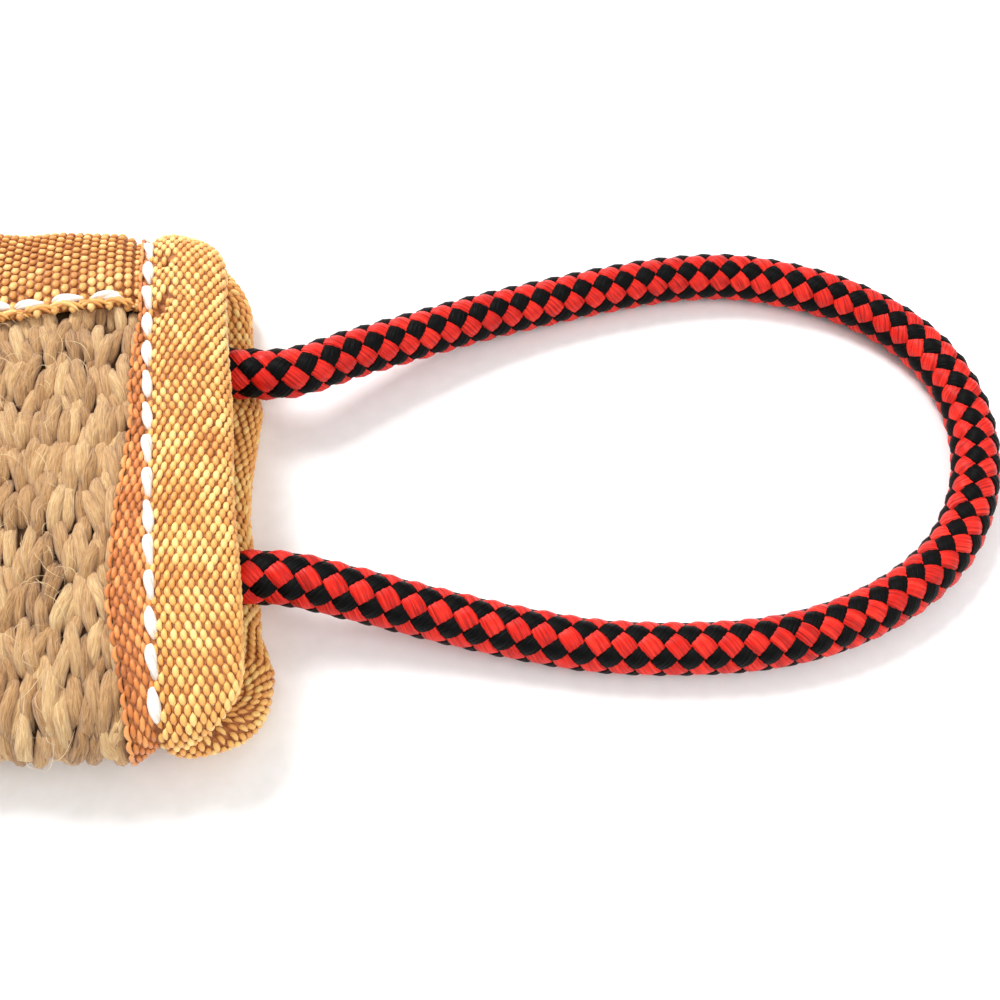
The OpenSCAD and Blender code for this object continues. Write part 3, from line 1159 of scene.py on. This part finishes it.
def add_floats(name, frames, shape, finish, seed):
    """Scatters one float shape over places with their directions, with a little unevenness."""
    place, along, outward = frames
    uneven = np.random.default_rng(seed)
    swing = uneven.normal(0, 0.07, len(place))[:, None]
    across = np.cross(along, outward)
    along = along * np.cos(swing) + across * np.sin(swing)
    piece = scatter_along(name, (place, along, outward), [shape], finish, 0.07, seed)
    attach(piece, "body")
    return piece


lip_float = spindle("lip_float", 1.95 * mm, 0.92 * mm, 0.72 * mm, 6, 4, drop=0.2 * mm)
flange_float = spindle("flange_float", 2.3 * mm, 0.8 * mm, 0.66 * mm, 6, 4, drop=0.2 * mm)
edge_float = spindle("edge_float", 2.15 * mm, 1.22 * mm, 0.85 * mm, 6, 4, drop=0.22 * mm)
selvage_loop = spindle("selvage_loop", 2.7 * mm, 0.66 * mm, 0.66 * mm, 6, 5, drop=0.25 * mm, bow=0.45 * mm)
chain_form = {"drop": 0.2 * mm, "bow": -1.05 * mm, "blunt": 0.25}
chain_loop = spindle("chain_loop", 4.7 * mm, 0.72 * mm, 0.72 * mm, 6, 8, **chain_form)


def end_floats(name, side):
    """The floats of one end tape: gold over the lip; longer on the flange inside the seam, in darker painted
    shade.
    """

    def surface(angle, distance, lift):
        return end_tape_point(side, angle, distance, np.broadcast_to(lift, angle.shape))

    spot, column = lattice(int(end_girth / lip_repeat), int((tape_cut - 12 * mm) / lip_column))
    angle = at_girth(spot)
    lip = frames_on(surface, angle, seam_distance(angle) + (column + 0.6) * lip_column, float_lift)
    spot, column = lattice(int(end_girth / flange_repeat), 12)
    angle = at_girth(spot)
    distance = (column + 0.5) * flange_column
    kept = distance < seam_distance(angle) - 0.1 * mm
    flange = frames_on(surface, angle[kept], distance[kept], float_lift)
    angle = at_girth(np.arange(0, 1, 2.2 * mm / end_girth))
    selvage = frames_on(surface, angle, np.zeros(len(angle)), 0.0)
    return [
        add_floats(f"{name}_lip_weave", lip, lip_float, gold_weave, 31),
        add_floats(f"{name}_flange_weave", flange, flange_float, gold_weave_painted_shade, 37),
        add_floats(f"{name}_selvage", selvage, selvage_loop, gold_weave_painted_shade, 39),
    ]


for name, side in (("handle_end", 1), ("plain_end", -1)):
    tape = end_tape(f"{name}_tape", side)
    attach(tape, "body")
    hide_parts(f"{name}_binding")
    end_floats(name, side)

# %% [markdown]
# ## Long-edge tape
# A wider tape closes the sleeve along its open edge. It is folded over the edge with half its width on each
# face, and its ends run in under the end tapes.

# %% Long-edge tape
edge_reach = half_length - 9 * mm
edge_stations = 150
edge_columns = 36
edge_dense = np.linspace(math.radians(88), math.radians(-88), 500)


def edge_line(x, grow):
    """A line round the taped edge at x, the reach of each point, and the reaches where the tape ends."""
    ring = skin(np.full(len(edge_dense), x), edge_dense, grow)
    reach = distances_along(ring)
    outermost = int(ring[:, 1].argmax()) + 1
    start = np.interp(edge_inner(x), ring[:outermost, 1], reach[:outermost])
    stop = np.interp(-edge_inner(x), -ring[outermost:, 1], reach[outermost:])
    return ring, reach, start, stop


def edge_width_at(x):
    start, stop = edge_line(x, tape_thickness)[2:]
    return stop - start


edge_width = edge_width_at(0.0)
tuck_length = 4 * mm
tuck_depth = 2 * mm


def edge_point(x, share, lift):
    """Points of the long-edge tape: x along the body, share across it from 0 to 1, lift outwards."""
    x, share, lift = np.broadcast_arrays(np.asarray(x, float), share, lift)
    points = np.zeros(x.shape + (3,))
    for value in np.unique(x):
        at = x == value
        past = abs(value) + end_lean * half_width - edge_reach + 1.1 * tuck_length
        tuck = tuck_depth * float(ease(past / tuck_length))
        for depth in np.unique(lift[at]):
            both = at & (lift == depth)
            ring, reach, start, stop = edge_line(value, tape_thickness + depth - tuck)
            s = share[both]
            wanted = start + s * (stop - start)
            here = np.stack([np.interp(wanted, reach, ring[:, k]) for k in range(3)], -1)
            inset = np.minimum(s, 1 - s) * edge_width
            valley = -0.7 * mm * np.exp(-(((inset - (edge_tape_reach - edge_seam_inset)) / (0.9 * mm)) ** 2))
            crown = 0.6 * mm * ease((inset - 3 * mm) / (4 * mm)) * ease((edge_width / 2 - inset) / (8 * mm))
            here[:, 2] += (valley + crown) * np.where(s < 0.5, 1, -1)
            here[:, 2] = np.maximum(here[:, 2], floor_gap)
            points[both] = here
    return points


def edge_tape(name):
    xs = np.linspace(-edge_reach, edge_reach, edge_stations)
    share = np.linspace(0, 1, edge_columns)
    rows = []
    for x in xs:
        outer = edge_point(np.full(edge_columns, x), share, -float_depth)
        inner = edge_point(np.full(edge_columns, x), share[::-1], -float_depth - tape_sheet)
        rows.append(np.concatenate([outer, inner]))
    faces = tube_faces(0, edge_stations, 2 * edge_columns)
    return add_object(name, make_mesh(name, np.concatenate(rows), faces, material=tape_gap_shade_finish))


def edge_frames(xs, share, lift):
    place = edge_point(xs, share, lift)
    along = np.tile([1.0, 0.0, 0.0], (len(place), 1))
    return place, along, square_to(along, edge_point(xs, share, lift + 0.1 * mm) - place)


edge_tape_piece = edge_tape("long_edge_tape")
spot, column = lattice(int(edge_width / edge_repeat), int(2 * edge_reach / edge_column))
float_lifts = np.full(len(spot), float_lift)
place, lengthwise, outward = edge_frames(column * edge_column - edge_reach, spot, float_lifts)
crosswise = np.cross(outward, lengthwise)
for label, half in (("plain", place[:, 0] < 0), ("handle", place[:, 0] >= 0)):
    frames = place[half], crosswise[half], outward[half]
    add_floats(f"long_edge_weave_{label}", frames, edge_float, edge_weave, 41)
# A chain of loops runs along both edges of the tape, on the upper face and on the lower one.
chain_pitch = 3.7 * mm
chain_overlap = 0.9 * mm
chain_outside = 0.012
loop_x = np.arange(-edge_reach, edge_reach, chain_pitch)
loop_x = np.concatenate([loop_x, loop_x + chain_overlap])
loop_lift = np.full(len(loop_x), 0.15 * mm)
upper = edge_frames(loop_x, np.full(len(loop_x), -chain_outside), loop_lift)
lower = edge_frames(loop_x, np.full(len(loop_x), 1 + chain_outside), loop_lift)
chain_frames = [np.concatenate([upper[k], (-lower[k] if k == 1 else lower[k])]) for k in range(3)]
chain = add_floats("long_edge_selvage", chain_frames, chain_loop, edge_weave, 43)
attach(edge_tape_piece, "body")
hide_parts("long_edge_binding")

# %% [markdown]
# ## Stitches
# White two-ply thread holds the tapes down. Each visible stitch is a short plump length whose ends dive
# into the tape, and the two plies turn round each other.


# %% Thread
def sewing_thread():
    material, tree = new_material("white_sewing_thread")
    fibres = noise(tree, stretched(tree, strand_place(tree), (1.0, 6.0, 1.0)), 4.0, 3.0)
    colour = ramp(tree, fibres, [(0.3, "#DAD5CB"), (0.55, "#F4F2EC"), (0.8, "#FDFCFA")])
    finish_material(tree, colour, fibres, 0.6, 0.12 * mm, Roughness=0.6, Sheen_Weight=0.2)
    return material


thread_finish = sewing_thread()
stitch_pitch = 5.5 * mm
stitch_length = 5.2 * mm
thread_width = 1.75 * mm
thread_twist = 1.3
stitch_lift = 0.4 * mm


def stitch(name, phase):
    """Two plies turned round each other, plump in the middle, with both ends sunk."""
    spans, sides = 10, 7
    points, places, faces = [], [], []
    for ply in range(2):
        first = len(points)
        for r in range(spans + 1):
            t = -1 + 2 * r / spans
            plump = 0.3 + 0.7 * (1 - t * t) ** 0.8
            turn = phase + math.pi * ply + thread_twist * t
            off = 0.16 * thread_width * plump
            centre = (off * math.cos(turn), t * stitch_length / 2, off * math.sin(turn) - 0.9 * mm * t**4)
            radius = 0.35 * thread_width * plump
            points += ellipse(centre, radius, radius, sides)
            places += [(r / spans, k / sides) for k in range(sides)]
        faces += tube_faces(first, spans + 1, sides)
    return make_mesh(name, points, faces, places)


stitch_shapes = [stitch(f"stitch_{k}", k * 1.1) for k in range(3)]


def add_stitches(name, node_name, frames, slant, seed):
    """Scatters the stitches, each turned by slant from the line of the seam."""
    place, along, outward = frames
    along = along * math.cos(slant) + np.cross(outward, along) * math.sin(slant)
    piece = scatter_along(name, (place, along, outward), stitch_shapes, thread_finish, 0.06, seed)
    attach(piece, "body")
    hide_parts(node_name)


end_stitches = int((2 * half_width - 5 * mm) / stitch_pitch)
stitch_rows = (np.arange(end_stitches) - end_stitches / 2 + 0.4) * stitch_pitch


def end_stitch_frames(side):
    """Frames of the stitches across one end, on both faces."""
    dense = np.linspace(0.02, math.pi - 0.02, 900)
    places = []
    for half in (0, 1):
        angles = dense + half * math.pi
        ys = cover_half_width * rounded(np.cos(angles))
        order = np.argsort(ys)
        places.append(np.interp(stitch_rows, ys[order], angles[order]))
    angle = np.concatenate(places)

    def surface(a, b, lift):
        return end_tape_point(side, a, b, np.broadcast_to(lift, a.shape))

    return frames_on(surface, angle, seam_distance(angle), stitch_lift)


for name, side in (("handle_end", 1), ("plain_end", -1)):
    add_stitches(f"{name}_stitches", f"{name}_seam", end_stitch_frames(side), math.radians(6), 51)

edge_stitches = int(2 * (swell_half_length + 5 * mm) / stitch_pitch)
along_edge = (np.arange(edge_stitches) - edge_stitches / 2 + 0.4) * stitch_pitch
share_of_seam = (edge_tape_reach - edge_seam_inset) / edge_width
both_faces = np.repeat([share_of_seam, 1 - share_of_seam], edge_stitches)
seam_frames = edge_frames(np.tile(along_edge, 2), both_faces, np.full(2 * edge_stitches, stitch_lift))
add_stitches("long_edge_stitches", "long_edge_seam", seam_frames, math.radians(9), 53)

pins = frame["nodes"]["rope_anchor_stitches"]
pins.data.materials.clear()
pins.data.materials.append(thread_finish)

# %% [markdown]
# ## Floor and light
# A plain pale floor and broad, soft studio light from above and from the far left.

# %% Floor
floor_material, floor_tree = new_material("pale_matt_paper")
grain = noise(floor_tree, object_place(floor_tree), 400.0, 2.0)
floor_colour = ramp(floor_tree, grain, [(0.3, "#FAFAF9"), (0.7, "#FFFFFF")])
finish_material(floor_tree, floor_colour, Roughness=0.9)
floor_half = 3.0
floor_mesh = bpy.data.meshes.new("floor")
corners = [(x * floor_half, y * floor_half, 0) for x, y in ((-1, -1), (1, -1), (1, 1), (-1, 1))]
floor_mesh.from_pydata(corners, [], [(0, 1, 2, 3)])
floor_mesh.materials.append(floor_material)
add_object("floor", floor_mesh)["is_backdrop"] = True

# %% Light
world = bpy.data.worlds.new("studio")
world.use_nodes = True
world.node_tree.nodes["Background"].inputs["Color"].default_value = (1.0, 1.0, 1.0, 1.0)
world.node_tree.nodes["Background"].inputs["Strength"].default_value = 0.75
bpy.context.scene.world = world


def softbox(name, place, target, size, watts):
    data = bpy.data.lights.new(name, "AREA")
    data.shape = "SQUARE"
    data.size = size
    data.energy = watts
    lamp = bpy.data.objects.new(name, data)
    lamp.location = place
    lamp.rotation_euler = (Vector(target) - Vector(place)).to_track_quat("-Z", "Y").to_euler()
    bpy.context.scene.collection.objects.link(lamp)
    return lamp


softbox("key_softbox", (-0.35, 0.55, 0.9), (0.12, 0, 0), 0.45, 14.0)
softbox("fill_softbox", (0.8, -0.5, 0.9), (0.12, 0, 0), 0.8, 5.0)
bpy.context.scene.view_settings.view_transform = "Standard"

# %% Finish
visual_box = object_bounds()
for label, box in (("cad", cad_box), ("visual", visual_box)):
    print(label, [[round(c, 4) for c in p] for p in box])
